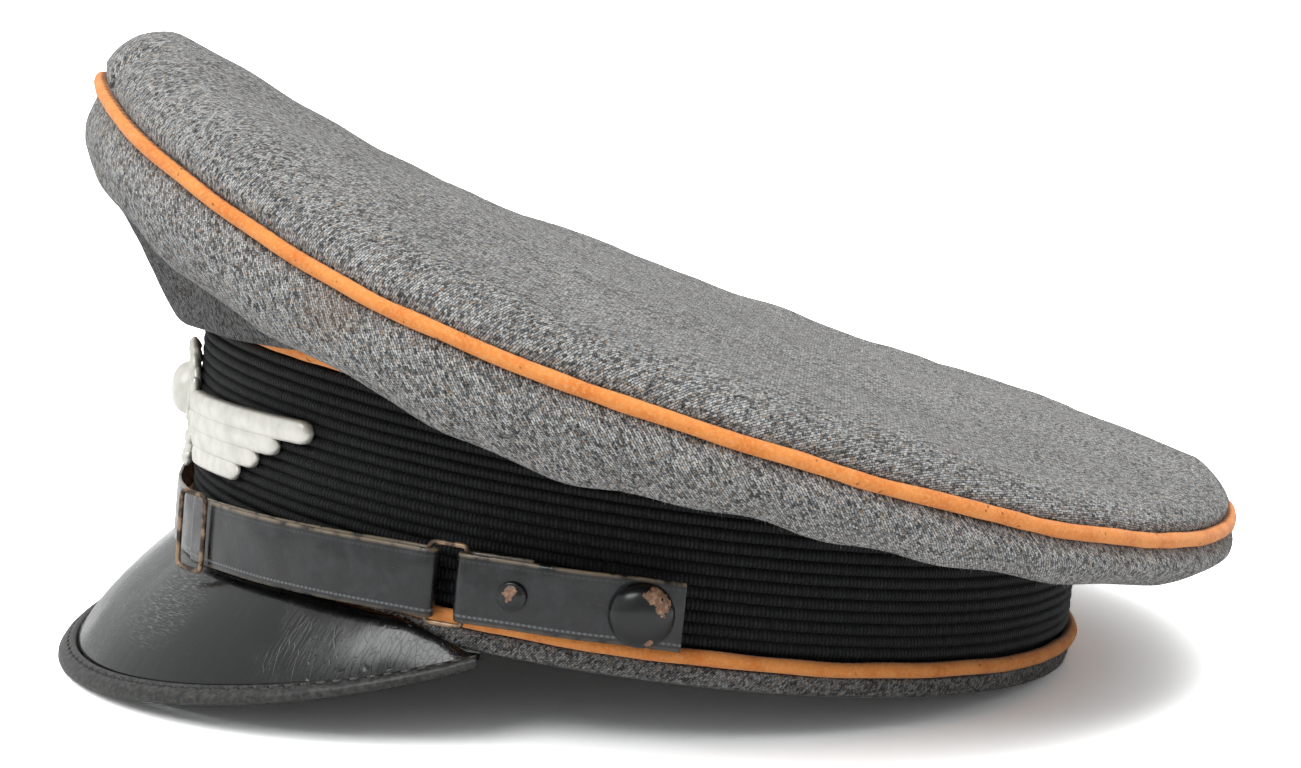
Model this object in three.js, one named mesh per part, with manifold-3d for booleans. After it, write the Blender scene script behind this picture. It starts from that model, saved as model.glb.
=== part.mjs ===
// A military peaked cap: wool crown, ribbed mohair band, lacquered peak, leather chin strap and front badge.
// Millimetres, +Z up. The front of the cap faces -Y and the wearer's left is +X.
// It is modelled upright, from the middle of its band and the height of its lower cord, and laid to rest at the end.
import * as THREE from 'three';
import { mergeVertices } from 'three/addons/utils/BufferGeometryUtils.js';
import Module from 'manifold-3d';

const wasm = await Module();
wasm.setup();

// Band, worn round a head of about 57 cm
const bandLength = 204;
const bandWidth = 176;
const bandHeight = 41.6;
const bandBackDrop = 9.5;
const bandDropEase = 1.5;
const bandRake = 0.06;
const bandSetBack = 1;
const pressedHeight = 28;
const bandWall = 2.6;
const formerWall = 1.2;
const ribCount = 17;
const ribRelief = 0.7;
const fitGap = 0.3;
const cordDiameter = 3.2;
const cordStandOut = 0.6;
const stripHeight = 4.2;
const stripWall = 2.6;
const stripChamfer = 0.4;

// Crown
const clothWall = 2;
const sideOverhang = 38;
const frontOverhang = 25.7;
const backOverhang = 31.6;
const frontRise = 91;
const sideRise = 49.7;
const backRise = 34.5;
const frontDroop = 8;
const droopSpan = 45;
const frontRoll = 25;
const sideRoll = 18;
const backRoll = 10.5;
const frontRollInset = 6;
const rollInset = 9;
const frontBulge = 3;
const rollBulge = 1.6;
const frontPuff = 10;
const sidePuff = 8.4;
const backPuff = 6.5;
const puffInset = 16;
const topHollow = 4;
const sideSpans = 9;
const seamGap = 0.3;
const sideSeam = 79;

// Peak
const peakSpread = 67;
const peakReach = 126;
const peakHalfWidth = 84.5;
const peakDrop = 32.5;
const peakSlope = 48;
const peakWall = 2;
const rimWidth = 5.2;
const rimThickness = 3;
const rimSlimming = 0.7;
const peakThinning = 0.35;
const peakSideSlope = 0.35;
const peakCamber = 0.05;
const peakTuck = 1.8;
const peakLap = 3.9;
const peakLapStart = 10;
const peakLapSpan = 28;
const peakLapEnd = 65;
const peakLapFade = 9;
const peakDropEase = 0.9;
const peakTurns = 28;
const peakEnd = 87;

// Chin strap, its slides and its buttons
const strapWidth = 14;
const strapThickness = 1.1;
const strapSideHeight = 9;
const strapFrontHeight = -1.1;
const strapEase = 1.4;
const buttonAngle = 82.5;
const buttonDiameter = 13.2;
const buttonDome = 4.5;
const slideSideAngle = 61;
const slideFrontAngle = 21;
const slideFrontTurn = 14;
const slideHeight = 17.5;
const slideWidth = 9.2;
const slideBar = 1.1;
const studAngle = 68.8;
const studDiameter = 6;
const studDome = 1.3;
const tabOverrun = 8;

// Badge
const badgeSpan = 126;
const wingDepth = 15;
const wingTop = 26.5;
const wingLift = 5;
const featherOverlap = 0.25;
const featherStep = 0.4;
const featherTip = 0.4;
const featherTaper = 0.95;
const badgePlate = 1.2;
const wreathHeight = 23;
const wreathTall = 29;
const wreathWide = 25;
const wreathLeaf = 3.4;
const wreathLeaves = 14;
const leafSlimness = 0.4;
const leafSplay = 23;
const discHeight = 26;
const discDiameter = 15;
const discDome = 6;

// How much of the front's and of the back's own size each section of the crown takes over the side's,
// and how deep the low roll hangs there against its plain depth
const crownSections = [
  { angle: 0, front: 1, back: 0, roll: 1 },
  { angle: 30, front: 0.746, back: 0, roll: 0.83 },
  { angle: 60, front: 0.322, back: 0, roll: 0.85 },
  { angle: 90, front: 0, back: 0, roll: 0.72 },
  { angle: 120, front: 0, back: 0.737, roll: 0.78 },
  { angle: 150, front: 0, back: 1.03, roll: 0.94 },
  { angle: 180, front: 0, back: 1, roll: 0.92 },
];

// Shares of the way from the top seam to the ridge of the puffed edge, and of the ridge's rise
const puffProfile = [
  { inset: 0, rise: 0 },
  { inset: 0.1, rise: 0.42 },
  { inset: 0.36, rise: 0.8 },
  { inset: 0.7, rise: 0.97 },
  { inset: 1, rise: 1 },
];

// Shares of the way from the ridge to the middle of the top
const hollowProfile = [0.16, 0.4, 0.7, 1];

// The outer line of a side panel below its low roll: shares of the roll's reach, of its height and of the droop
const concaveProfile = [
  { reach: 0.26, height: 0.12, droop: 1 },
  { reach: 0.66, height: 0.56, droop: 0.4 },
  { reach: 1, height: 1, droop: 0 },
];

// The same line above it: shares of the roll's inset, of its depth and of its bulge
const rollProfile = [
  { inset: 0.22, depth: 0.72, bulge: 0 },
  { inset: 0, depth: 0.36, bulge: 1 },
  { inset: 0, depth: 0, bulge: 0 },
];

// Section of the peak's binding: shares of its width along the peak and of its thickness
const rimProfile = [
  { along: -1, up: 0.1 },
  { along: -0.8, up: 0.32 },
  { along: -0.25, up: 0.32 },
  { along: 0, up: 0 },
  { along: 0, up: -0.3 },
  { along: -0.25, up: -0.68 },
  { along: -0.8, up: -0.68 },
  { along: -1, up: -0.5 },
];

// Rows of feathers from the top: shares of the wing's length that they reach
const featherRows = [1, 0.85, 0.74, 0.63];

// Half sections of the turned pieces: shares of the radius and of the height
const buttonProfile = [
  { radius: 0, height: 0 },
  { radius: 0.86, height: 0 },
  { radius: 1, height: 0.2 },
  { radius: 0.92, height: 0.51 },
  { radius: 0.71, height: 0.77 },
  { radius: 0.38, height: 0.94 },
  { radius: 0, height: 1 },
];

const studProfile = [
  { radius: 0, height: 0 },
  { radius: 1, height: 0 },
  { radius: 1, height: 0.46 },
  { radius: 0.7, height: 0.85 },
  { radius: 0, height: 1 },
];

const discProfile = [
  { radius: 0, height: 0 },
  { radius: 1, height: 0 },
  { radius: 1, height: 0.38 },
  { radius: 0.82, height: 0.45 },
  { radius: 0.7, height: 0.71 },
  { radius: 0.4, height: 0.93 },
  { radius: 0, height: 1 },
];

const steps = 40;
const halfLength = bandLength / 2;
const halfWidth = bandWidth / 2;
const cordRadius = cordDiameter / 2;
const bandBottom = cordRadius + fitGap;
const bandTop = bandBottom + bandHeight;
const crownSeam = bandTop + 2 * (cordRadius + fitGap);
const stripTop = -cordRadius - fitGap;
const stripBottom = stripTop - stripHeight;
const strapReach = cordStandOut + cordRadius + fitGap;
const radians = THREE.MathUtils.degToRad;

// A point at an angle from the front, at a reach out from the band's oval and at a height; the wall rakes forward
function ovalPoint(angle, reach, height) {
  const normal = new THREE.Vector2(Math.sin(angle) / halfWidth, -Math.cos(angle) / halfLength).normalize();
  return [
    halfWidth * Math.sin(angle) + normal.x * reach,
    bandSetBack - bandRake * height - halfLength * Math.cos(angle) + normal.y * reach,
    height,
  ];
}

// A height on the band, whose upper part is pressed down towards the back
function bandLevel(angle, height) {
  const drop = bandBackDrop * ((1 - Math.cos(angle)) / 2) ** bandDropEase;
  const share = Math.max(height - pressedHeight, 0) / (bandTop - pressedHeight);
  return height - drop * Math.min(share, 1);
}

// The angle at which the oval's arc from the front has a given length
function angleAtArc(arc) {
  const pieces = 200;
  let angle = 0;
  for (let i = 0; i < pieces; i += 1) {
    const speed = Math.hypot(halfWidth * Math.cos(angle), halfLength * Math.sin(angle));
    angle += arc / pieces / speed;
  }
  return angle;
}

// A closed body carried through sections of equal length; paired points of a section close its ends
function loft(sections, closed) {
  const count = sections[0].length;
  const triangles = [];
  const quad = (a, b, c, d) => triangles.push(a, b, c, a, c, d);
  const spans = closed ? sections.length : sections.length - 1;
  for (let i = 0; i < spans; i += 1) {
    const here = sections[i];
    const next = sections[(i + 1) % sections.length];
    for (let j = 0; j < count; j += 1) {
      const k = (j + 1) % count;
      quad(here[j], here[k], next[k], next[j]);
    }
  }
  if (!closed) {
    const last = sections[sections.length - 1];
    for (let j = 0; j + 1 < count / 2; j += 1) {
      quad(sections[0][count - 1 - j], sections[0][count - 2 - j], sections[0][j + 1], sections[0][j]);
      quad(last[j], last[j + 1], last[count - 2 - j], last[count - 1 - j]);
    }
  }
  return closedBody(triangles.flat());
}

// Merges shared corners, drops empty triangles and turns the faces outwards
function closedBody(coordinates) {
  const soup = new THREE.BufferGeometry();
  soup.setAttribute('position', new THREE.Float32BufferAttribute(coordinates, 3));
  const merged = mergeVertices(soup, 1e-4);
  const corners = merged.index.array;
  const kept = [];
  for (let i = 0; i < corners.length; i += 3) {
    const [a, b, c] = [corners[i], corners[i + 1], corners[i + 2]];
    if (a !== b && b !== c && c !== a) kept.push(a, b, c);
  }
  merged.setIndex(kept);
  if (signedVolume(merged) < 0) merged.setIndex(kept.reverse());
  return merged;
}

function signedVolume(geometry) {
  const place = geometry.attributes.position;
  const corners = geometry.index.array;
  const [a, b, c] = [new THREE.Vector3(), new THREE.Vector3(), new THREE.Vector3()];
  let volume = 0;
  for (let i = 0; i < corners.length; i += 3) {
    a.fromBufferAttribute(place, corners[i]);
    b.fromBufferAttribute(place, corners[i + 1]);
    c.fromBufferAttribute(place, corners[i + 2]);
    volume += a.dot(b.cross(c)) / 6;
  }
  return volume;
}

// A line of [reach, height] points and, back along it, the same line moved to its left by the wall
function wallSection(line, wall) {
  const inner = line.map((point, i) => {
    const before = line[Math.max(i - 1, 0)];
    const after = line[Math.min(i + 1, line.length - 1)];
    const along = new THREE.Vector2(after[0] - before[0], after[1] - before[1]).normalize();
    return [point[0] - along.y * wall, point[1] + along.x * wall];
  });
  return [...line, ...inner.reverse()];
}

// Joins closed geometries into one solid
function fuse(geometries) {
  const solids = geometries.map((geometry) => {
    const plain = geometry.clone();
    plain.deleteAttribute('normal');
    plain.deleteAttribute('uv');
    const merged = mergeVertices(plain, 1e-4);
    return new wasm.Manifold(new wasm.Mesh({
      numProp: 3,
      vertProperties: new Float32Array(merged.attributes.position.array),
      triVerts: new Uint32Array(merged.index.array),
    }));
  });
  const mesh = solids.reduce((sum, solid) => sum.add(solid)).getMesh();
  const geometry = new THREE.BufferGeometry();
  geometry.setAttribute('position', new THREE.Float32BufferAttribute(mesh.vertProperties, 3));
  geometry.setIndex(Array.from(mesh.triVerts));
  return geometry;
}

// Bends a flat piece round the band: x is the arc from the front, y the height and z the reach
function wrapRound(geometry) {
  const place = geometry.attributes.position;
  for (let i = 0; i < place.count; i += 1) {
    place.setXYZ(i, ...ovalPoint(angleAtArc(place.getX(i)), place.getZ(i), place.getY(i)));
  }
  return geometry;
}

// A smooth curve through a value of each section of the crown, the same on its left and right
function crownValue(angle, valueOf) {
  const degrees = Math.abs(THREE.MathUtils.radToDeg(Math.atan2(Math.sin(angle), Math.cos(angle))));
  const last = crownSections.length - 1;
  const pitch = 180 / last;
  const place = Math.min(degrees / pitch, last - 1e-9);
  const low = Math.floor(place);
  const value = (i) => valueOf(crownSections[i < 0 ? -i : i > last ? 2 * last - i : i]);
  const [a, b, c, d] = [value(low - 1), value(low), value(low + 1), value(low + 2)];
  const t = place - low;
  return b + (t / 2) * (c - a + t * (2 * a - 5 * b + 4 * c - d + t * (3 * (b - c) + d - a)));
}

// A size of the crown at an angle, from its sizes at the front, side and back
function crownSize(angle, front, side, back) {
  return crownValue(angle, (row) => side + (front - side) * row.front + (back - side) * row.back);
}

const edgeHeight = (angle) => crownSize(angle, frontRise, sideRise, backRise);

function edgeReach(angle) {
  const end = Math.cos(angle) > 0 ? frontOverhang : backOverhang;
  return sideOverhang * Math.sin(angle) ** 2 + end * Math.cos(angle) ** 2;
}

// The outer line of a side panel: out from the band's seam, round the low roll and up to the top seam
function sideLine(angle) {
  const reach = edgeReach(angle);
  const height = edgeHeight(angle) - cordRadius - fitGap;
  const roll = crownSize(angle, frontRoll, sideRoll, backRoll) * crownValue(angle, (row) => row.roll);
  const inset = crownSize(angle, frontRollInset, rollInset, rollInset);
  const rollReach = reach - inset;
  const rollHeight = height - roll;
  const bulge = crownSize(angle, frontBulge, rollBulge, rollBulge);
  const seam = bandLevel(angle, crownSeam);
  const fromFront = Math.min(Math.abs(Math.atan2(Math.sin(angle), Math.cos(angle))) / radians(droopSpan), 1);
  const droop = frontDroop * Math.cos((fromFront * Math.PI) / 2);
  const points = [
    [cordRadius - fitGap, seam],
    ...concaveProfile.map((row) => [
      rollReach * row.reach,
      seam + (rollHeight - seam) * row.height - droop * row.droop,
    ]),
    ...rollProfile.map((row) => [reach - inset * row.inset + bulge * row.bulge, height - roll * row.depth]),
  ];
  const curve = new THREE.CatmullRomCurve3(points.map(([x, y]) => new THREE.Vector3(x, y, 0)), false, 'centripetal');
  return curve.getPoints(sideSpans).map((point) => [point.x, point.y]);
}

function sidePanel(from, to) {
  const margin = seamGap / 2 / halfWidth;
  const sections = [];
  const count = steps / 4;
  for (let i = 0; i <= count; i += 1) {
    const angle = THREE.MathUtils.clamp(from + ((to - from) * i) / count, from + margin, to - margin);
    const section = wallSection(sideLine(angle), clothWall);
    sections.push(section.map(([reach, height]) => ovalPoint(angle, reach, height)));
  }
  return loft(sections, false);
}

// The top panel: a puffed edge rising from the seam, and a shallow hollow inside it
function topPanel() {
  const rim = (angle) => ovalPoint(angle, edgeReach(angle), edgeHeight(angle));
  const middleY = (rim(Math.PI)[1] + rim(0)[1]) / 2;
  const puff = (angle) => crownSize(angle, frontPuff, sidePuff, backPuff);
  const ridge = (angle) => edgeHeight(angle) + cordRadius + fitGap + puff(angle);
  const middle = (ridge(0) + ridge(Math.PI)) / 4 + ridge(Math.PI / 2) / 2;
  const pitch = (ridge(0) - ridge(Math.PI)) / 2;
  const saddle = (ridge(0) + ridge(Math.PI)) / 4 - ridge(Math.PI / 2) / 2;
  const sections = [];
  for (let i = 0; i < steps; i += 1) {
    const angle = (i * 2 * Math.PI) / steps;
    const [edgeX, edgeY] = rim(angle);
    const length = Math.hypot(edgeX, edgeY - middleY);
    const crest = ridge(angle) - middle - pitch * Math.cos(angle) - saddle * Math.cos(2 * angle);
    const line = puffProfile.map(({ inset, rise }) => {
      return [length - inset * puffInset, ridge(angle) - (1 - rise) * puff(angle)];
    });
    for (const share of hollowProfile) {
      const rest = 1 - share;
      const surface = middle + pitch * rest * Math.cos(angle) + saddle * rest ** 2 * Math.cos(2 * angle);
      line.push([(length - puffInset) * rest, surface + crest * rest ** 4 - topHollow * (1 - rest ** 2)]);
    }
    const section = wallSection(line, clothWall);
    const inner = line.length;
    section[inner] = [0, line[inner - 1][1] - clothWall];
    sections.push(section.map(([distance, height]) => {
      const share = Math.max(distance, 0) / length;
      return [edgeX * share, middleY + (edgeY - middleY) * share, height];
    }));
  }
  return loft(sections, true);
}

// A ring round the whole cap whose section is a list of [reach, height] points at each angle
function ring(sectionAt) {
  const sections = [];
  for (let i = 0; i < steps; i += 1) {
    const angle = (i * 2 * Math.PI) / steps;
    sections.push(sectionAt(angle).map(([reach, height]) => ovalPoint(angle, reach, height)));
  }
  return loft(sections, true);
}

function cordRing(reachAt, heightAt) {
  const sides = 6;
  return ring((angle) => Array.from({ length: sides }, (_, i) => {
    const turn = ((i + 0.5) * 2 * Math.PI) / sides;
    return [reachAt(angle) + cordRadius * Math.cos(turn), heightAt(angle) + cordRadius * Math.sin(turn)];
  }));
}

// Braid ribs stand out of the band; its former has a plain inner face and runs down behind the lower cord
function ribbedBand() {
  const pitch = bandHeight / ribCount;
  const line = [[0, bandBottom]];
  for (let i = 0; i < ribCount; i += 1) {
    line.push([0, bandBottom + (i + 0.5) * pitch]);
    if (i + 1 < ribCount) line.push([-ribRelief, bandBottom + (i + 1) * pitch]);
  }
  line.push([0, bandTop], [-bandWall, bandTop]);
  line.push([-bandWall, stripTop + fitGap], [formerWall - bandWall, stripTop + fitGap], [formerWall - bandWall, bandBottom]);
  return ring((angle) => line.map(([reach, height]) => [reach, bandLevel(angle, height)]));
}

function baseStrip() {
  const line = [
    [cordStandOut, stripTop],
    [cordStandOut, stripBottom + stripHeight * stripChamfer],
    [0, stripBottom],
    [-stripWall + cordStandOut, stripBottom],
    [-stripWall + cordStandOut, stripTop],
  ];
  return ring(() => line);
}

// The peak's outer edge in plan and height, at a turn of -90 to 90 degrees round it
const peakRootHeight = stripBottom - fitGap;
const peakCentre = ovalPoint(radians(peakSpread), 0, peakRootHeight)[1];

function peakEdge(turn) {
  const front = peakReach + peakCentre;
  const outward = new THREE.Vector2(Math.sin(turn) / peakHalfWidth, -Math.cos(turn) / front).normalize();
  const slope = radians(peakSlope) * (peakSideSlope + (1 - peakSideSlope) * Math.cos(turn));
  return {
    place: new THREE.Vector3(
      peakHalfWidth * Math.sin(turn),
      peakCentre - front * Math.cos(turn),
      peakRootHeight + rimThickness / 2 - peakDrop * Math.cos(turn) ** peakDropEase,
    ),
    down: new THREE.Vector3(outward.x * Math.cos(slope), outward.y * Math.cos(slope), -Math.sin(slope)),
    face: new THREE.Vector3(outward.x * Math.sin(slope), outward.y * Math.sin(slope), Math.cos(slope)),
    width: rimWidth * (1 - rimSlimming * (1 - Math.sqrt(Math.cos(turn)))),
    thinness: 1 - peakThinning * (1 - Math.sqrt(Math.cos(turn))),
  };
}

function peakSections(sectionAt) {
  const sections = [];
  for (let i = 0; i <= peakTurns; i += 1) {
    const turn = radians(peakEnd) * ((2 * i) / peakTurns - 1);
    sections.push(sectionAt(turn, peakEdge(turn)).map((point) => point.toArray()));
  }
  return loft(sections, false);
}

// How far up the base strip's face the peak's root laps: not at the front, and not at the peak's two ends
function rootLap(angle) {
  const aside = THREE.MathUtils.radToDeg(Math.abs(angle));
  const start = THREE.MathUtils.clamp((aside - peakLapStart) / peakLapSpan, 0, 1);
  return start * THREE.MathUtils.clamp((peakLapEnd - aside) / peakLapFade, 0, 1);
}

// The board is tucked in under the base strip, laps up over the strip's face beside the front and thins to its ends
function peakBoard() {
  const across = 4;
  return peakSections((turn, edge) => {
    const angle = (turn * peakSpread) / 90;
    const lap = rootLap(angle);
    const wall = peakWall * edge.thinness;
    const tuck = new THREE.Vector3(...ovalPoint(angle, cordStandOut - peakTuck, peakRootHeight));
    const foot = new THREE.Vector3(...ovalPoint(angle, cordStandOut + fitGap, peakRootHeight));
    const rise = lap * peakLap - (1 - lap) * 2 * fitGap;
    const root = new THREE.Vector3(...ovalPoint(angle, cordStandOut + 2 * fitGap, peakRootHeight + rise));
    const inner = edge.place.clone().addScaledVector(edge.down, -edge.width - fitGap);
    const line = [];
    for (let i = 0; i <= across; i += 1) {
      const share = i / across;
      const bulge = 4 * share * (1 - share) * peakCamber * root.distanceTo(inner);
      line.push(root.clone().lerp(inner, share).addScaledVector(edge.face, bulge));
    }
    const under = [foot, ...line.slice(1)].map((point) => point.clone().addScaledVector(edge.face, -wall));
    const tuckUnder = tuck.clone().setZ(tuck.z - wall);
    return [tuck, foot, ...line, ...under.reverse(), tuckUnder];
  });
}

function peakBinding() {
  return peakSections((turn, edge) => {
    const corner = (along, up) => edge.place.clone()
      .addScaledVector(edge.down, along * edge.width)
      .addScaledVector(edge.face, up * rimThickness * edge.thinness);
    return rimProfile.map(({ along: inward, up }) => corner(inward, up));
  });
}

// The strap rises from the front to the buttons
function strapHeight(angle) {
  const share = Math.abs(Math.sin(angle)) / Math.sin(radians(buttonAngle));
  return strapFrontHeight + (strapSideHeight - strapFrontHeight) * share ** strapEase;
}

// The angle reached from another by a distance round the band
const along = (angle, distance) => {
  return angle + distance / Math.hypot(halfWidth * Math.cos(angle), halfLength * Math.sin(angle));
};

// Places along a strap from one angle and reach to another; its turn says which way its first face looks
function strapRun(from, to, turn, count) {
  return Array.from({ length: count + 1 }, (_, i) => {
    const share = i / count;
    return {
      angle: from.angle + (to.angle - from.angle) * share,
      reach: from.reach + (to.reach - from.reach) * share,
      turn,
    };
  });
}

// The bend of a strap round a slide's bar, between its two layers
function strapBend(angle, startTurn, count) {
  const radius = (outerLayer - innerLayer) / 2;
  return Array.from({ length: count - 1 }, (_, i) => {
    const turn = startTurn + (Math.PI * (i + 1)) / count;
    return {
      angle: along(angle, radius * Math.sin(turn)),
      reach: slideReach - radius * Math.cos(turn),
      turn,
    };
  });
}

function strapBody(stations) {
  const half = strapThickness / 2;
  return loft(stations.map(({ angle, reach, turn }) => {
    const corner = (side, up) => ovalPoint(
      along(angle, side * half * Math.sin(turn)),
      reach - side * half * Math.cos(turn),
      strapHeight(angle) + (up * strapWidth) / 2,
    );
    return [corner(1, -1), corner(1, 1), corner(-1, 1), corner(-1, -1)];
  }), false);
}

// Reaches of the leather layers and of the side slide between them; the layers close up at the front slide
const innerLayer = strapReach + strapThickness / 2;
const outerLayer = innerLayer + strapThickness + 3 * fitGap + slideBar;
const closedLayer = innerLayer + strapThickness + fitGap;
const slideReach = (innerLayer + outerLayer) / 2;
const frontSlideReach = closedLayer + (strapThickness + slideBar) / 2 + 5 * fitGap;
const barShift = (slideWidth - slideBar) / 2;

// The long strap: from beyond the right button round the front to the side slide, and back to the front slide
function chinStrap() {
  const tip = along(-radians(buttonAngle), -tabOverrun);
  const bar = along(radians(slideSideAngle), -barShift);
  const end = along(radians(slideFrontAngle), -slideWidth / 2);
  return strapBody([
    ...strapRun({ angle: tip, reach: innerLayer }, { angle: bar, reach: innerLayer }, 0, 36),
    ...strapBend(bar, 0, 6),
    ...strapRun({ angle: bar, reach: outerLayer }, { angle: end, reach: closedLayer }, Math.PI, 12),
  ]);
}

// The short strap: from beyond the left button to the side slide's other bar, and back under its stud
function strapTab() {
  const tip = along(radians(buttonAngle), tabOverrun);
  const bar = along(radians(slideSideAngle), barShift);
  const end = along(radians(studAngle), studDiameter / 2);
  return strapBody([
    ...strapRun({ angle: tip, reach: outerLayer }, { angle: bar, reach: outerLayer }, Math.PI, 10),
    ...strapBend(bar, Math.PI, 6),
    ...strapRun({ angle: bar, reach: innerLayer }, { angle: end, reach: innerLayer }, 2 * Math.PI, 5),
  ]);
}

// An oblong metal slide: a frame of bars, standing on the band at an angle and reach
function slideFrame(angle, reach, turn) {
  const frame = new THREE.Shape();
  const [w, h] = [slideWidth / 2, slideHeight / 2];
  frame.moveTo(-w, -h).lineTo(w, -h).lineTo(w, h).lineTo(-w, h).closePath();
  const window = new THREE.Path();
  const [iw, ih] = [w - slideBar, h - slideBar];
  window.moveTo(-iw, -ih).lineTo(-iw, ih).lineTo(iw, ih).lineTo(iw, -ih).closePath();
  frame.holes.push(window);
  const geometry = new THREE.ExtrudeGeometry(frame, { depth: slideBar, bevelEnabled: false });
  geometry.translate(0, 0, -slideBar / 2);
  geometry.rotateY(radians(turn));
  return standOnBand(geometry, angle, reach, strapHeight(angle));
}

// Turns a piece whose z points out so that it stands on the band at an angle, reach and height
function standOnBand(geometry, angle, reach, height) {
  const [x, y] = ovalPoint(angle, reach, height);
  const up = new THREE.Vector3(0, -bandRake, 1).normalize();
  const normal = new THREE.Vector3(Math.sin(angle) / halfWidth, -Math.cos(angle) / halfLength, 0);
  const sideways = new THREE.Vector3().crossVectors(up, normal).normalize();
  const outward = new THREE.Vector3().crossVectors(sideways, up);
  geometry.applyMatrix4(new THREE.Matrix4().makeBasis(sideways, up, outward));
  geometry.translate(x, y, height);
  return geometry;
}

// A turned piece of a given radius and height, closed on the axis
function turned(profile, radius, height, sides) {
  const points = profile.map((row) => new THREE.Vector2(row.radius * radius, row.height * height));
  const geometry = new THREE.LatheGeometry(points, sides);
  geometry.rotateX(Math.PI / 2);
  geometry.deleteAttribute('normal');
  geometry.deleteAttribute('uv');
  const merged = mergeVertices(geometry, 1e-4);
  return closedBody(Array.from(merged.toNonIndexed().attributes.position.array));
}

// A domed side button whose shank face lies on the strap
function sideButton(angle, seat) {
  const dome = turned(buttonProfile, buttonDiameter / 2, buttonDome, 18);
  return standOnBand(dome, angle, seat, strapHeight(angle));
}

function strapStud() {
  const seat = outerLayer + strapThickness / 2 + fitGap;
  const stud = turned(studProfile, studDiameter / 2, studDome, 14);
  return standOnBand(stud, radians(studAngle), seat, strapHeight(radians(studAngle)));
}

// One spread wing: rows of feathers, each lower one shorter and lying further in
function badgeWing(side) {
  const plates = [];
  const rowDepth = wingDepth / featherRows.length;
  const cuts = 6;
  const root = wreathWide / 2 + 2 * fitGap;
  featherRows.forEach((share, row) => {
    const tip = (badgeSpan / 2) * share;
    const out = fitGap + badgePlate * (1 + featherStep * (featherRows.length - row));
    const sections = [];
    for (let i = 0; i <= cuts; i += 1) {
      const arc = root + (tip - root) * (i === cuts ? 1 : (i / (cuts - 1)) * featherTaper);
      const lift = (wingLift * arc) / (badgeSpan / 2);
      const top = wingTop - row * rowDepth + lift;
      const low = top - rowDepth * (i === cuts ? featherTip : 1 + featherOverlap);
      sections.push([
        [side * arc, low, fitGap], [side * arc, top, fitGap],
        [side * arc, top, out], [side * arc, low, out],
      ]);
    }
    plates.push(wrapRound(loft(sections, false)));
  });
  return fuse(plates);
}

// A wreath of leaves on an upright oval hoop, in front of the wings' roots
function badgeWreath() {
  const [wide, tall] = [(wreathWide - wreathLeaf) / 2, (wreathTall - wreathLeaf) / 2];
  const hoop = new THREE.TorusGeometry(1, badgePlate / wide, 4, 20);
  hoop.scale(wide, tall, wide);
  const parts = [hoop];
  for (let i = 0; i < wreathLeaves; i += 1) {
    const turn = ((i + 0.5) * 2 * Math.PI) / wreathLeaves;
    const leaf = new THREE.OctahedronGeometry(1);
    leaf.scale(wreathLeaf * leafSlimness, wreathLeaf * 2 * leafSlimness, badgePlate);
    leaf.rotateZ(turn - Math.sign(Math.cos(turn)) * radians(leafSplay));
    leaf.translate(wide * Math.cos(turn), tall * Math.sin(turn), 0);
    parts.push(leaf);
  }
  const geometry = fuse(parts);
  geometry.translate(0, wreathHeight, badgePlate + fitGap);
  return wrapRound(geometry);
}

// A plain domed disc in the middle of the wreath
function badgeDisc() {
  return standOnBand(turned(discProfile, discDiameter / 2, discDome, 18), 0, fitGap, discHeight);
}

const finishes = {
  wool: { color: 0x55585c, roughness: 0.95, metalness: 0 },
  felt: { color: 0xe07a2a, roughness: 0.9, metalness: 0 },
  mohair: { color: 0x121315, roughness: 0.8, metalness: 0 },
  lacquer: { color: 0x111214, roughness: 0.18, metalness: 0 },
  binding: { color: 0x1a1a1b, roughness: 0.4, metalness: 0 },
  leather: { color: 0x15161a, roughness: 0.35, metalness: 0 },
  bronze: { color: 0x3a2c22, roughness: 0.45, metalness: 0.8 },
  paint: { color: 0x141417, roughness: 0.3, metalness: 0 },
  whiteMetal: { color: 0xc9cac6, roughness: 0.35, metalness: 0.9 },
};

// The cap leans back until its rim and the back of its base strip stand on one level
const upright = new THREE.Group();

function add(name, finish, geometry) {
  const mesh = new THREE.Mesh(geometry, new THREE.MeshStandardMaterial(finishes[finish]));
  mesh.name = name;
  upright.add(mesh);
}

add('crown_top', 'wool', topPanel());
add('side_front_left', 'wool', sidePanel(0, radians(sideSeam)));
add('side_back_left', 'wool', sidePanel(radians(sideSeam), Math.PI));
add('side_back_right', 'wool', sidePanel(Math.PI, radians(360 - sideSeam)));
add('side_front_right', 'wool', sidePanel(radians(360 - sideSeam), 2 * Math.PI));
add('top_piping', 'felt', cordRing(edgeReach, edgeHeight));
add('upper_piping', 'felt', cordRing(() => 0, (angle) => bandLevel(angle, bandTop) + cordRadius + fitGap));
add('cap_band', 'mohair', ribbedBand());
add('lower_piping', 'felt', cordRing(() => cordStandOut, () => 0));
add('base_strip', 'wool', baseStrip());
add('peak', 'lacquer', peakBoard());
add('peak_rim', 'binding', peakBinding());
add('chin_strap', 'leather', chinStrap());
add('strap_tab', 'leather', strapTab());
add('slide_side', 'bronze', slideFrame(radians(slideSideAngle), slideReach, 0));
add('slide_front', 'bronze', slideFrame(radians(slideFrontAngle), frontSlideReach, slideFrontTurn));
add('strap_stud', 'bronze', strapStud());
add('button_left', 'paint', sideButton(radians(buttonAngle), outerLayer + strapThickness / 2 + fitGap));
add('button_right', 'paint', sideButton(-radians(buttonAngle), innerLayer + strapThickness / 2 + fitGap));
add('badge_wing_left', 'whiteMetal', badgeWing(1));
add('badge_wing_right', 'whiteMetal', badgeWing(-1));
add('badge_wreath', 'whiteMetal', badgeWreath());
add('badge_disc', 'whiteMetal', badgeDisc());

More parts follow.
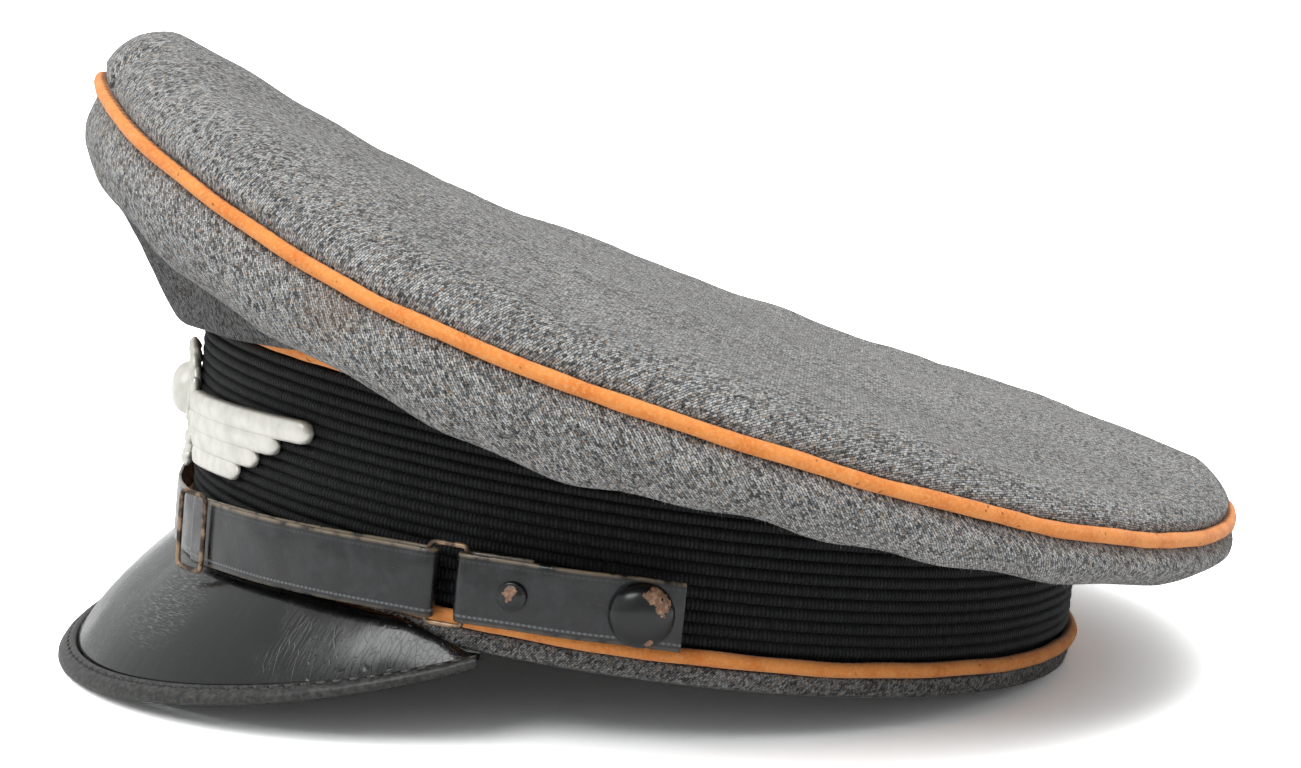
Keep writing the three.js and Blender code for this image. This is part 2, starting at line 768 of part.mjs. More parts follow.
const cap = new THREE.Group();
cap.add(upright);
const rimFoot = peakEdge(0);
const rimLow = rimFoot.place.clone().addScaledVector(rimFoot.face, rimProfile[4].up * rimThickness);
const backLow = new THREE.Vector3(...ovalPoint(Math.PI, 0, stripBottom));
upright.rotation.x = -Math.atan2(backLow.z - rimLow.z, backLow.y - rimLow.y);
cap.updateMatrixWorld(true);
const box = new THREE.Box3().setFromObject(cap, true);
upright.position.set(0, -(box.min.y + box.max.y) / 2, -box.min.z);

export default cap;
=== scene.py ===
# A military peaked cap of grey wool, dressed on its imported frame.
import bmesh
import bpy
import numpy as np
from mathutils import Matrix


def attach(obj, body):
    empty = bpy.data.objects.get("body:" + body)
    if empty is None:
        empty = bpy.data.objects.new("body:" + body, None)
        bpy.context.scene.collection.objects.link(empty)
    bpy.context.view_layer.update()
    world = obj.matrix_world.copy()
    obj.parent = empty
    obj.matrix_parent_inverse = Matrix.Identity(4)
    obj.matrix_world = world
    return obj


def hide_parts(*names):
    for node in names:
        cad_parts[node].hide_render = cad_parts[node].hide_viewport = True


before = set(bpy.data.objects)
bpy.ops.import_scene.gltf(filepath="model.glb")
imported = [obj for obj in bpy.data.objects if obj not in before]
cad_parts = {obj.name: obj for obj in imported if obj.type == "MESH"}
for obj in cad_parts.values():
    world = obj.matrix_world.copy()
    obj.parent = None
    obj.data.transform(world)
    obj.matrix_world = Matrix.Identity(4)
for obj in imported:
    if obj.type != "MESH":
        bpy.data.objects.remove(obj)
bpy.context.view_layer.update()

# Camera: the cap is seen from the wearer's left, a little ahead of the ear, from 0.6 m and 10 degrees down.
# Its place, turn and lens were fitted to the cap's own lines in the photograph of 1301 by 768 pixels.
camera = bpy.data.objects.new("camera", bpy.data.cameras.new("camera"))
camera.data.lens = 71.556
camera.data.sensor_width = 36.0
camera.location = (0.577827, -0.093195, 0.160678)
camera.rotation_euler = np.radians([80.2684, -1.0457, 80.9985])
bpy.context.scene.collection.objects.link(camera)
bpy.context.scene.camera = camera
bpy.context.scene.view_settings.view_transform = "Standard"


# Crown top: one oval of heathered grey wool, puffed up inside its seam and sunk a little in the middle.
# It is cut from milled uniform cloth, a twill whose nap half hides the weave.
# Lengths are in millimetres, but the wool's wall is in metres, like all sizes in the materials.
band_half_length, band_half_width = 102.0, 88.0
band_set_back, band_rake = 1.0, 0.06
rest_lean = np.radians(7.941256)
rest_shift = np.array([0.0, -3.751032, 20.358210])
cord_radius, fit_gap = 1.6, 0.3
front_overhang, side_overhang, back_overhang = 25.7, 38.0, 31.6
ridge_share, ridge_inset, tuck_share, crown_hollow = 0.3, 16.0, 0.012, 4.0
wool_wall = 0.002


def oval(angle, reach, height):
    """Half width times sine and half length times cosine of the angle from the front, moved out along the
    oval's own normal by a reach, at a height; y moves forward by the rake times the height. Millimetres."""
    across, ahead = np.sin(angle) / band_half_width, -np.cos(angle) / band_half_length
    size = np.hypot(across, ahead)
    x = band_half_width * np.sin(angle) + across / size * reach + 0 * height
    y = band_set_back - band_rake * height - band_half_length * np.cos(angle) + ahead / size * reach
    return np.stack(np.broadcast_arrays(x, y, height + 0 * x), -1)


def laid(points):
    """The upright cap in millimetres turned back about X by the lean and set on the floor, in metres."""
    x, y, z = np.moveaxis(np.asarray(points, float), -1, 0)
    c, s = np.cos(rest_lean), np.sin(rest_lean)
    return (np.stack([x, c * y + s * z, c * z - s * y], -1) + rest_shift) / 1000


crown_table = np.array([
    # share of the front's size, share of the back's size, depth of the low roll; every 30 degrees from the front
    [1, 0, 1], [0.746, 0, 0.83], [0.322, 0, 0.85], [0, 0, 0.72], [0, 0.737, 0.78], [0, 1.03, 0.94], [0, 1, 0.92],
])


def ring(count):
    """Angles evenly once round, the last one short of the first."""
    return np.linspace(0, 2 * np.pi, count, endpoint=False)


def from_front(angle):
    """An angle in degrees from -180 to 180, 0 at the front."""
    return np.degrees(np.arctan2(np.sin(angle), np.cos(angle)))


def climb(value, low, high):
    """0 at low, 1 at high, even between and flat beyond; low may be the greater."""
    return np.clip((value - low) / (high - low), 0, 1)


def bell(value, middle, width):
    """e to the minus square of the distance from the middle over the width."""
    return np.exp(-((value - middle) / width) ** 2)


def crown_value(angle, values):
    """Catmull-Rom curve through one value for each 30 degrees from front to back, the same left and right."""
    place = np.minimum(np.abs(from_front(angle)) / 30, 6 - 1e-9)
    low = np.floor(place).astype(int)
    t = place - low
    a, b, c, d = (np.array([values[1], *values, values[-2]])[low + k] for k in range(4))
    return b + t / 2 * (c - a + t * (2 * a - 5 * b + 4 * c - d + t * (3 * (b - c) + d - a)))


def crown_size(angle, front, side, back):
    """A size blended from its values at the front, side and back by the crown's table."""
    return crown_value(angle, side + (front - side) * crown_table[:, 0] + (back - side) * crown_table[:, 1])


def edge_reach(angle):
    """Side overhang times sine squared plus the front's or back's overhang times cosine squared."""
    end = np.where(np.cos(angle) > 0, front_overhang, back_overhang)
    return side_overhang * np.sin(angle) ** 2 + end * np.cos(angle) ** 2


def edge_height(angle):
    """Height of the top seam: 91 mm at the front, 49.7 at the sides and 34.5 at the back."""
    return crown_size(angle, 91.0, 49.7, 34.5)


def wander(points, size, seed):
    """A smooth random field from -1 to 1: the mean of nine cosines of plane waves about size mm long."""
    dice = np.random.default_rng(seed)
    waves = dice.normal(size=(9, 3))
    waves *= (0.6 + 0.8 * dice.random((9, 1))) / np.linalg.norm(waves, axis=1, keepdims=True) / size
    phase = dice.random(9)
    return np.cos(2 * np.pi * (points @ waves.T + phase)).sum(-1) / 4.5


def shell(name, place, faces):
    """A piece from places in metres and faces of one size, each a row of the numbers of its places."""
    made = bpy.data.meshes.new(name)
    made.vertices.add(len(place))
    made.vertices.foreach_set("co", place.ravel())
    made.loops.add(faces.size)
    made.loops.foreach_set("vertex_index", faces.ravel().astype(np.int32))
    made.polygons.add(len(faces))
    made.polygons.foreach_set("loop_start", np.arange(len(faces), dtype=np.int32) * faces.shape[1])
    made.update(calc_edges=True)
    piece = bpy.data.objects.new(name, made)
    bpy.context.scene.collection.objects.link(piece)
    return piece


def reworked(piece, work, others=()):
    """Puts the meshes of other pieces into a piece, in their place, and works the whole as one form."""
    form = bmesh.new()
    for part in (piece, *others):
        form.from_mesh(part.data)
    work(form)
    form.to_mesh(piece.data)
    form.free()
    for part in others:
        bpy.data.objects.remove(part)
    return piece


def skin(name, points, flat, around=False, across=False, pole=False):
    """A mesh of quads through a grid of upright points, laid to rest. around closes it along the first way and
    across along the second, and pole welds points that meet. flat, the UV map, is each point's place on the flat
    material in metres, with one more row or column where the grid closes, or an even grid's length and width."""
    n, m = points.shape[:2]
    if isinstance(flat, tuple):
        sides = np.linspace(0, flat[0], n + around), np.linspace(0, flat[1], m + across)
        flat = np.stack(np.meshgrid(*sides, indexing="ij"), -1)
    i, j = (k.ravel() for k in np.meshgrid(
        np.arange(n - 1 + around), np.arange(m - 1 + across), indexing="ij"))
    ways = ((0, 0), (1, 0), (1, 1), (0, 1))
    corners = np.stack([(i + a) % n * m + (j + b) % m for a, b in ways], -1)
    piece = shell(name, laid(points).reshape(-1, 3), corners)
    uv = np.stack([flat[i + a, j + b] for a, b in ways], 1)
    piece.data.uv_layers.new(name="flat").data.foreach_set("uv", uv.ravel())
    if pole:
        reworked(piece, lambda form: bmesh.ops.remove_doubles(form, verts=form.verts, dist=1e-7))
    piece.data.shade_smooth()
    return piece


def outward(piece):
    """Turns the faces of a closed piece outwards."""
    return reworked(piece, lambda form: bmesh.ops.recalc_face_normals(form, faces=form.faces))


def walled(piece):
    """Gives a sheet of wool its wall, behind the face that shows."""
    made = piece.modifiers.new("wall", "SOLIDIFY")
    made.thickness = wool_wall
    made.offset = -1.0
    made.use_even_offset = False
    return piece


def fitted(piece, material, slot, *nodes):
    """Dresses a piece in a material and lets it stand for its CAD nodes."""
    piece.data.materials.append(material)
    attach(piece, "root")
    if nodes:
        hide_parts(*nodes)
    return piece


def tone(code):
    """An sRGB hex colour as linear red, green, blue and 1; any other value as it is."""
    if not isinstance(code, str):
        return code
    value = np.array([int(code[k:k + 2], 16) for k in (1, 3, 5)]) / 255
    return (*np.where(value <= 0.04045, value / 12.92, ((value + 0.055) / 1.055) ** 2.4), 1.0)


def node(kind, sockets=(), owner=None, **settings):
    """Adds a shader node with its settings and gives its outputs. Each socket takes a plain value, a hex colour
    or another node's output. The node goes where the first such output is, or else to its owner's tree."""
    sockets = dict(sockets)
    linked = {socket: value for socket, value in sockets.items() if isinstance(value, bpy.types.NodeSocket)}
    tree = owner.node_tree if owner else next(iter(linked.values())).id_data
    made = tree.nodes.new("ShaderNode" + kind)
    for name, value in settings.items():
        setattr(made, name, value)
    for socket, value in sockets.items():
        if socket in linked:
            tree.links.new(value, made.inputs[socket])
        else:
            made.inputs[socket].default_value = tone(value)
    return made.outputs


def finish(name, **values):
    """A new material whose Principled shader has the given plain values, and its place in space, in metres."""
    material = bpy.data.materials.new(name)
    material.use_nodes = True
    shader = material.node_tree.nodes["Principled BSDF"]
    for socket, value in values.items():
        shader.inputs[socket.replace("_", " ")].default_value = tone(value)
    return material, node("TexCoord", owner=material)["Object"]


def surfaced(material, colour, height=None, strength=0.0, distance=0.0, roughness=None, invert=False):
    """Leads a colour to the material's shader, with a relief and a roughness where they vary."""
    ends = {"Base Color": colour, "Roughness": roughness}
    if height:
        relief = {"Height": height, "Strength": strength, "Distance": distance}
        ends["Normal"] = node("Bump", relief, invert=invert)[0]
    tree = material.node_tree
    for socket, value in ends.items():
        if value:
            tree.links.new(value, tree.nodes["Principled BSDF"].inputs[socket])
    return material


def on_flat(material):
    """The place on the flat material, along and across, in metres."""
    return node("UVMap", owner=material, uv_map="flat")[0]


def mixed(share, first, second):
    """The colour between first and second at a share."""
    return node("Mix", {0: share, 6: first, 7: second}, data_type="RGBA")[2]


def ramped(value, low, high, least=0.0, most=1.0):
    """A value taken from between low and high to between least and most, smooth at both ends."""
    return node("MapRange", dict(enumerate((value, low, high, least, most))), interpolation_type="SMOOTHSTEP")[0]


def noise(place, scale, detail, roughness=0.5, output="Fac"):
    """A soft random value with so many waves a metre, and finer ones added as often as detail says."""
    return node("TexNoise", {
        "Vector": place, "Scale": scale, "Detail": detail, "Roughness": roughness})[output]


def maths(operation, *values):
    """One step of arithmetic."""
    return node("Math", dict(enumerate(values)), operation=operation)[0]


def vectors(operation, first, second):
    """One step of arithmetic on two vectors, or on a vector and its scale."""
    sockets = {0: first, "Scale" if operation == "SCALE" else 1: second}
    output = "Value" if operation in ("DISTANCE", "DOT_PRODUCT") else "Vector"
    return node("VectorMath", sockets, operation=operation)[output]


def wool_cloth(name, shade):
    """Milled wool twill: floats of 0.95 by 0.46 mm in leaning rows, each yarn spun of dark, grey, pale and tan
    fibres, under a fuzz of fine nap. The floats are drawn about half again as coarse as real ones so that they
    show. Shade is painted into the cloth under the roll and in the pinched crease, and it has two faint stains."""
    material, place = finish(name, Roughness=0.95, Specular_IOR_Level=0.12, Sheen_Weight=0.12,
                             Sheen_Roughness=0.5, Sheen_Tint="#C9CCD0")
    stir = vectors("SUBTRACT", noise(place, 600, 1, output="Color"), (0.5, 0.5, 0.5))
    moved = vectors("ADD", on_flat(material), vectors("SCALE", stir, 0.0005))
    turned = node("Mapping", {
        "Vector": moved, "Rotation": (0, 0, np.radians(58)), "Scale": (1000, 1000, 1000)})[0]
    floats = node("TexBrick", {
        "Vector": turned, "Color1": "#505153", "Color2": "#D0D1D0", "Mortar": "#1F2023", "Scale": 1.0,
        "Mortar Size": 0.085, "Mortar Smooth": 0.8, "Brick Width": 0.95, "Row Height": 0.46})
    fibres = noise(place, 1700, 2, 0.7)
    yarn = mixed(ramped(fibres, 0.52, 0.7, 0.0, 0.7), floats["Color"], "#D6D5D0")
    yarn = mixed(ramped(noise(place, 1500, 1), 0.58, 0.7, 0.0, 0.6), yarn, "#AE8F6B")
    yarn = mixed(ramped(noise(place, 1150, 2, 0.7), 0.53, 0.7, 0.0, 0.75), yarn, "#1D1E21")
    worn = vectors("SCALE", yarn, ramped(noise(place, 22, 3), 0.3, 0.7, 0.93 * shade, 1.1 * shade))
    # painted shade: the cloth under the roll is drawn darker, where it lies out of the light
    under = node("Attribute", owner=material, attribute_name="under_roll")["Fac"]
    worn = mixed(under, worn, vectors("MULTIPLY", worn, tone("#B2B2B4")[:3]))
    for spot, size in stains:
        worn = mixed(ramped(vectors("DISTANCE", place, spot), size * 0.2, size, 0.3, 0.0), worn, "#7A5A3C")
    # painted shade in the pinched crease: dark within 2 mm of its plane and 8 mm of its middle
    aside = maths("ABSOLUTE", vectors("DOT_PRODUCT", vectors("SUBTRACT", place, crease), crease_way))
    near = ramped(vectors("DISTANCE", place, crease), 0.004, 0.0105, 1.0, 0.0)
    worn = mixed(maths("MULTIPLY", ramped(aside, 0.001, 0.0026, 0.9, 0.0), near), worn, "#161617")
    return surfaced(material, worn, maths("SUBTRACT", fibres, floats["Fac"]), 0.6, 0.0004)


# two faint brown stains from handling, on the near side behind the badge and at the back of the roll: place, radius
stains = (((0.104, -0.078, 0.094), 0.011), ((0.121, 0.092, 0.030), 0.010))


def top_points(angle, share):
    """From the seam at share 0 up to the soft ridge at share 0.3 and in to the middle at 1. Up to the ridge the
    height follows the puff's profile; inside it is a plane, a saddle and a fourth-power crest less a hollow."""
    edge, front_end, back_end = (oval(a, edge_reach(a), edge_height(a)) for a in (angle, 0.0, np.pi))
    middle_y = (back_end[1] + front_end[1]) / 2
    length = np.hypot(edge[..., 0], edge[..., 1] - middle_y)
    puff = lambda a: crown_size(a, 10.0, 8.4, 6.5)
    ridge = lambda a: edge_height(a) + cord_radius + fit_gap + puff(a)
    front, side, back = ridge(0.0), ridge(np.pi / 2), ridge(np.pi)
    middle, pitch, saddle = (front + back) / 4 + side / 2, (front - back) / 2, (front + back) / 4 - side / 2
    crest = ridge(angle) - middle - pitch * np.cos(angle) - saddle * np.cos(2 * angle)
    near, rest = climb(share, 0, ridge_share), 1 - climb(share, ridge_share, 1)
    outer = ridge(angle) - (1 - np.interp(near, puff_inset, puff_rise)) * puff(angle)
    inner = (middle + pitch * rest * np.cos(angle) + saddle * rest ** 2 * np.cos(2 * angle) + crest * rest ** 4
             - crown_hollow * (1 - rest ** 2))
    height = np.where(share < ridge_share, outer, inner)
    away = np.where(share < ridge_share, length - near * ridge_inset, (length - ridge_inset) * rest)
    tucked = climb(share, tuck_share, 0)
    part = (away - 0.9 * tucked) / length
    return np.stack([edge[..., 0] * part, middle_y + (edge[..., 1] - middle_y) * part, height - 0.75 * tucked], -1)


# the puff's profile: steep at the seam and level at the ridge
puff_inset = np.linspace(0, 1, 60)
puff_rise = (1 - (1 - puff_inset) ** 3.1) ** 0.72
turn = ring(320)[:, None]
share = np.concatenate([np.linspace(0, 1, 34)[:-1] ** 1.3 * ridge_share, np.linspace(ridge_share, 1, 56)])
top = top_points(turn, share)
for _ in range(14):  # the ridge is soft: each place near it goes to the mean of itself and its two neighbours
    top[:, 18:52] = (top[:, 17:51] + 2 * top[:, 18:52] + top[:, 19:53]) / 4
rumple = 0.9 * wander(top, 70, 1) + 0.45 * wander(top, 24, 2) + 0.14 * wander(top, 8, 3)
top[..., 2] += climb(share, 0, 0.12) ** 2 * rumple
# one pinched crease at the front, where the seam's turnings bunch up under the cloth
pinch = bell(from_front(turn) + 6 * share, 10, 1.6) * climb(share, 0, tuck_share) * bell(share, 0, 0.2)
top += pinch[..., None] * (4.5 * np.stack([-np.sin(turn), np.cos(turn), 0 * turn], -1) - [0, 0, 1.2])
# the cloth's flat place: the plan's direction from the middle, at the distance along the surface
steps = np.linalg.norm(np.diff(top[:, ::-1], axis=1, prepend=top[:, -1:]), axis=-1).cumsum(1)[:, ::-1]
plan = top[..., :2] - top[:1, -1:, :2]
flat = plan / np.maximum(np.linalg.norm(plan, axis=-1, keepdims=True), 1e-6) * steps[..., None] / 1000
flat = np.concatenate([flat, flat[:1]])
# the middle of the pinched crease and its way across, where shade is painted into the wool
crease = tuple(laid(top[9, 6]))
crease_way = laid(top[10, 6]) - laid(top[8, 6])
crease_way = tuple(crease_way / np.linalg.norm(crease_way))
wool = wool_cloth("milled_wool_twill", 1.0)
crown_top = walled(skin("crown_top_cloth", top, flat, around=True, pole=True))
fitted(crown_top, wool, "wool", "crown_top")


# Crown sides: four wool panels stand on the band's seam, swell out into the low roll and rise to the top seam.
# They are joined by pressed seams at the front, the back and just ahead of each ear.
crown_seam, band_top, side_seam = 47.3, 43.5, np.radians(79)
mean_radius = 115.0


def band_level(angle, height):
    """A height on the band, whose upper part is pressed down by up to 9.5 mm towards the back."""
    return height - 9.5 * ((1 - np.cos(angle)) / 2) ** 1.5 * climb(height, 28.0, band_top)


def side_points(angle, t):
    """A centripetal Catmull-Rom curve through seven places from the band's seam, round the roll to the top seam.
    Beside the front the cloth under the roll falls in by up to a quarter of the roll's reach, and the roll is
    pulled up there."""
    reach, height = edge_reach(angle), edge_height(angle) - cord_radius - fit_gap
    roll = crown_size(angle, 25.0, 18.0, 10.5) * crown_value(angle, crown_table[:, 2])
    inset, bulge = crown_size(angle, 6.0, 9.0, 9.0), crown_size(angle, 3.0, 1.6, 1.6)
    aside = np.abs(from_front(angle))
    seam = band_level(angle, crown_seam)
    droop = 8.0 * np.cos(np.minimum(aside / 45, 1) * np.pi / 2)
    hollow = climb(aside, 4, 16) * climb(aside, 78, 52)
    out, up = reach - inset, height - roll + 4.2 * bell(aside, 16, 8) + 2.0 * bell(aside, 53, 8)
    outwards = (1.3 + 0 * out, out * (0.26 - 0.1 * hollow), out * (0.66 - 0.26 * hollow), out,
                reach - inset * (0.22 - 0.3 * hollow), reach + bulge, reach)
    upwards = (seam, seam + (up - seam) * 0.12 - droop, seam + (up - seam) * (0.56 + 0.16 * hollow) - droop * 0.4,
               up - 0.6 * hollow, height - roll * 0.72, height - roll * 0.36, height)
    places = np.stack([np.concatenate(np.broadcast_arrays(*way), -1) for way in (outwards, upwards)], -1)
    ends = [2 * places[:, :1] - places[:, 1:2], places, 2 * places[:, -1:] - places[:, -2:-1]]
    places = np.concatenate(ends, 1)
    at = np.minimum(t * 6, 6 - 1e-9)
    low = np.floor(at).astype(int)
    w = (at - low)[None, :, None]
    a, b, c, d = (places[:, low + k] for k in range(4))
    span = lambda p, q: np.maximum(((p - q) ** 2).sum(-1, keepdims=True), 1e-9) ** 0.25
    ab, bc, cd = span(a, b), span(b, c), span(c, d)
    start = bc * ((b - a) / ab - (c - a) / (ab + bc) + (c - b) / bc)
    stop = bc * ((c - b) / bc - (d - b) / (bc + cd) + (d - c) / cd)
    line = b + w * start + w ** 2 * (3 * (c - b) - 2 * start - stop) + w ** 3 * (2 * (b - c) + start + stop)
    return line[..., 0], line[..., 1]


def side_panel(name, start, stop):
    """A panel between two seams: the side's curve at each angle, dipped by 0.6 mm within 1.5 mm of a seam and
    rumpled along the roll by up to a millimetre."""
    margin = 0.02 / band_half_width
    angle = np.linspace(start + margin, stop - margin, int(110 * (stop - start)))[:, None]
    t = np.append(np.linspace(0, 0.985, 64), 1)
    reach, height = side_points(angle, t)
    arc = mean_radius * np.minimum(angle - start, stop - angle)
    loose = np.sin(np.pi * t) ** 0.8
    spot = oval(angle, reach, height)
    rumple = loose * (0.75 * wander(spot, 42, 4) + 0.45 * wander(spot, 17, 5) + 0.12 * wander(spot, 7, 6))
    low = loose * 0.8 * wander(spot * [1, 1, 0.3], 26, 7) * bell(t, 0.5, 0.2)
    sag = 2.0 * bell(np.degrees(angle), 72, 9) * bell(t, 0.48, 0.17)
    points = oval(angle, reach + rumple - 0.6 * bell(arc, 0, 1.1) * loose, height + low - sag)
    points += climb(t, 0.985, 1)[:, None] * (oval(angle, reach - 0.9, height + 0.75) - points)
    run = mean_radius * angle + 0 * reach
    fall = np.cumsum(np.hypot(*(np.diff(k, axis=1, prepend=k[:, :1]) for k in (reach, height))), 1)
    panel = walled(skin(name, points, np.stack([run, fall], -1) / 1000))
    # painted shade under the roll: 1 below the roll's lower edge, 0 above it
    under = (1 - climb(t, 0.45, 0.51) + 0 * reach).ravel()
    panel.data.attributes.new("under_roll", "FLOAT", "POINT").data.foreach_set("value", under)
    return panel, points


naps = [top]
for name, start, stop in (
    ("side_front_left", 0.0, side_seam), ("side_back_left", side_seam, np.pi),
    ("side_back_right", np.pi, 2 * np.pi - side_seam), ("side_front_right", 2 * np.pi - side_seam, 2 * np.pi),
):
    panel, points = side_panel(name + "_cloth", start, stop)
    fitted(panel, wool, "wool", name)
    naps.append(points)


# Pipings: cords of orange felt, folded bias strips caught in the seams at the top, above and below the band.
# The felt is matt and a little uneven, with a few dark specks of wool caught on it.
def along_across(material):
    """How far a place lies along and how far across the flat material."""
    return node("SeparateXYZ", {0: on_flat(material)})[:2]


def stitches(run, across, line, pitch):
    """The distance across from a line, and a wave from -1 to 1 once every pitch along it."""
    off = maths("ABSOLUTE", maths("SUBTRACT", across, line))
    return off, maths("SINE", maths("MULTIPLY", run, 2 * np.pi / pitch))


def felt_cloth():
    """Orange felt in two shades with paler fibres and dark specks, with stitches and painted shade along the cord
    where it meets the cloth.
    """
    material, place = finish("orange_felt", Roughness=0.9, Specular_IOR_Level=0.15, Sheen_Weight=0.2,
                             Sheen_Roughness=0.5)
    grain = noise(place, 1300, 4, 0.7)
    base = mixed(ramped(noise(place, 150, 3), 0.35, 0.7), "#F89C51", "#E7853D")
    base = mixed(ramped(grain, 0.4, 0.7, 0.0, 0.6), base, "#F9B777")
    base = mixed(ramped(noise(place, 620, 1), 0.7, 0.78, 0.0, 0.7), base, "#7A3F1B")
    off, beat = stitches(*along_across(material), 0.005, 0.002)
    # painted shade on the cord's inner side, where it meets the cloth at its seams, broken by the stitches
    seam = maths("MULTIPLY", ramped(off, 0.0022, 0.003, 0.85, 0.0), ramped(beat, -0.5, 0.6, 0.55, 1.0))
    return surfaced(material, mixed(seam, base, "#4A2810"), grain, 0.5, 0.0003)


def piping(name, reach, height, seed):
    """A ring whose section is a circle of the cord's radius, swollen by up to 0.1 mm and shifted by up to 0.3."""
    angle, way = ring(480)[:, None], ring(14)
    spine = oval(angle, reach(angle), height(angle))
    radius = cord_radius * (1 + 0.05 * wander(spine, 9, seed)) + 0 * way
    sway = 0.22 * wander(spine, 21, seed + 1)
    out, up = radius * np.cos(way) + 0.5 * sway, radius * np.sin(way) + sway
    points = oval(angle, reach(angle) + out, height(angle) + up)
    return outward(skin(name, points, (0.6, 0.01), around=True, across=True))


felt = felt_cloth()
lower_reach = 0.6
for name, reach, height, seed in (
    ("top_piping", edge_reach, edge_height, 11),
    ("upper_piping", lambda a: 0 * a, lambda a: band_level(a, band_top) + cord_radius + fit_gap, 13),
    ("lower_piping", lambda a: lower_reach + 0 * a, lambda a: 0 * a, 15),
):
    fitted(piping(name + "_cord", reach, height, seed), felt, "felt", name)


# Band: black mohair braid in seventeen ribs round a stiff former, sewn level round the cap.
# Mohair has a short bright pile, so each rib shows as a row of tiny beads with a soft sheen.
band_bottom, band_height, rib_count = 1.9, 41.6, 17


def mohair_braid():
    """Black mohair: on each 2.45 mm rib a row of beads 0.85 mm long under pile, a little greyer than the furrows,
    whose darkness is painted shade.
    The beads are drawn about half again as long as the real ones so that they show."""
    material, place = finish("black_mohair_braid", Roughness=0.65, Specular_IOR_Level=0.3)
    set_out = node("Mapping", {
        "Vector": on_flat(material), "Location": (0, -band_bottom, 0), "Scale": (1000, 1000, 1000)})[0]
    # the dark mortar is painted shade in the furrows between the ribs and between the beads
    beads = node("TexBrick", {
        "Vector": set_out, "Color1": "#212224", "Color2": "#2F3032", "Mortar": "#0B0B0C", "Scale": 1.0,
        "Mortar Size": 0.3, "Mortar Smooth": 1.0, "Bias": -0.1, "Brick Width": 0.85,
        "Row Height": band_height / rib_count})
    pile = noise(place, 1900, 3, 0.7)
    lint = mixed(ramped(pile, 0.45, 0.7, 0.0, 0.7), beads["Color"], "#0B0C0D")
    return surfaced(material, lint, maths("SUBTRACT", pile, beads["Fac"]), 0.8, 0.0004)


angle = ring(400)[:, None]
rise = np.linspace(0, 1, rib_count * 8 + 1)
groove = 1 - np.abs(np.sin(np.pi * rise * rib_count)) ** 0.6
face_reach = np.concatenate([-groove, [-2.6, -2.6, -1.4, -1.4]])
face_height = np.concatenate([band_bottom + band_height * rise, [band_top, -1.6, -1.6, band_bottom]])
spot = oval(angle, 0 * face_reach, face_height)
lumps = np.where(np.arange(len(face_reach)) < len(rise), 0.12 * wander(spot, 14, 21), 0)
ribs = oval(angle, face_reach + lumps, band_level(angle, face_height))
run, up = np.meshgrid(np.linspace(0, 0.597, 401), np.append(face_height, 0) / 1000, indexing="ij")
band = outward(skin("ribbed_band", ribs, np.stack([run, up], -1), around=True, across=True))
fitted(band, mohair_braid(), "mohair", "cap_band")


# Base strip: the edge of the wool cover, turned up under the lower piping and sewn to the band's former.
# Its wool is drawn much darker: partly grime from hair and hands, partly painted shade, as it faces down near the
# floor.
strip_bottom = -6.1
strip_line = np.array([  # reach and height round the turned edge, from under the cord
    [0.5, -1.9], [0.6, -2.5], [0.62, -3.4], [0.55, -4.4], [0.35, -5.3], [0.0, -5.9], [-0.5, strip_bottom],
    [-1.6, strip_bottom], [-2.0, -5.8], [-2.0, -1.9]])
soft = 0.22 * wander(oval(angle, *strip_line.T), 11, 31) * np.array([0, 0.5, 1, 1, 1, 0.4, 0, 0, 0, 0])
strip_points = oval(angle, strip_line[:, 0] + soft, strip_line[:, 1])
strip = outward(skin("base_strip_cloth", strip_points, (0.6, 0.012), around=True, across=True))
# the strip's wool at 0.55 of the crown's brightness: painted shade with some grime
fitted(strip, wool_cloth("grimed_and_shaded_wool_twill", 0.55), "wool", "base_strip")
naps.append(strip_points[:, 1:6])


# Nap: loose wool fibres that the milling and wear have raised from the cloth, each a fine spike 0.4 to 1.5 mm long
# that lies over in a random way. They soften the outline of the crown.
def nap(name, grids, counts, seed):
    """Spikes with a three-sided foot 0.05 mm across on places chosen at random on each grid of points; a tip is
    the foot plus its length along the normal mixed with a random way along the surface."""
    unit = lambda ways: ways / np.maximum(np.linalg.norm(ways, axis=1, keepdims=True), 1e-9)
    dice = np.random.default_rng(seed)
    feet, tips = [], []
    for grid, count in zip(grids, counts):
        a, b, c = grid[:-1, :-1], grid[1:, :-1], grid[:-1, 1:]
        cross = np.cross(b - a, c - a)
        area = np.linalg.norm(cross, axis=-1)
        pick = dice.choice(area.size, count, p=area.ravel() / area.sum())
        a, b, c, cross = (k.reshape(-1, 3)[pick] for k in (a, b, c, cross))
        normal = unit(cross)
        centre = grid.reshape(-1, 3).mean(0) * [1, 1, 0] + [0, 0, 20]
        normal *= np.sign(((a - centre) * normal).sum(1, keepdims=True))
        u, v = dice.random((2, count, 1))
        foot = a + u * (b - a) + v * (c - a)
        length = 0.4 + 1.1 * dice.random((count, 1)) ** 2
        feet.append(foot - 0.05 * normal)
        tips.append(foot + length * (0.45 * normal + 0.48 * dice.normal(size=(count, 3))))
    foot, tip = np.concatenate(feet), np.concatenate(tips)
    side = unit(np.cross(tip - foot, dice.normal(size=foot.shape)))
    other = unit(np.cross(tip - foot, side))
    corners = [foot + 0.03 * (np.cos(k) * side + np.sin(k) * other) for k in ring(3)]
    place = laid(np.stack([*corners, tip], 1))
    place = place[place[..., 2].min(1) > 0.0002].reshape(-1, 3)
    start = np.arange(len(place) // 4)[:, None] * 4
    faces = np.concatenate([start + k for k in ([0, 1, 3], [1, 2, 3], [2, 0, 3], [0, 2, 1])])
    return shell(name, place, faces)


fibre, place = finish("wool_fibre", Roughness=0.8, Specular_IOR_Level=0.2)
surfaced(fibre, mixed(ramped(noise(place, 700, 0), 0.35, 0.65), "#5C5E60", "#C4C2BB"))
fitted(nap("wool_nap", naps, (12000, 5500, 6500, 6500, 5500, 2600), 41), fibre, "wool")


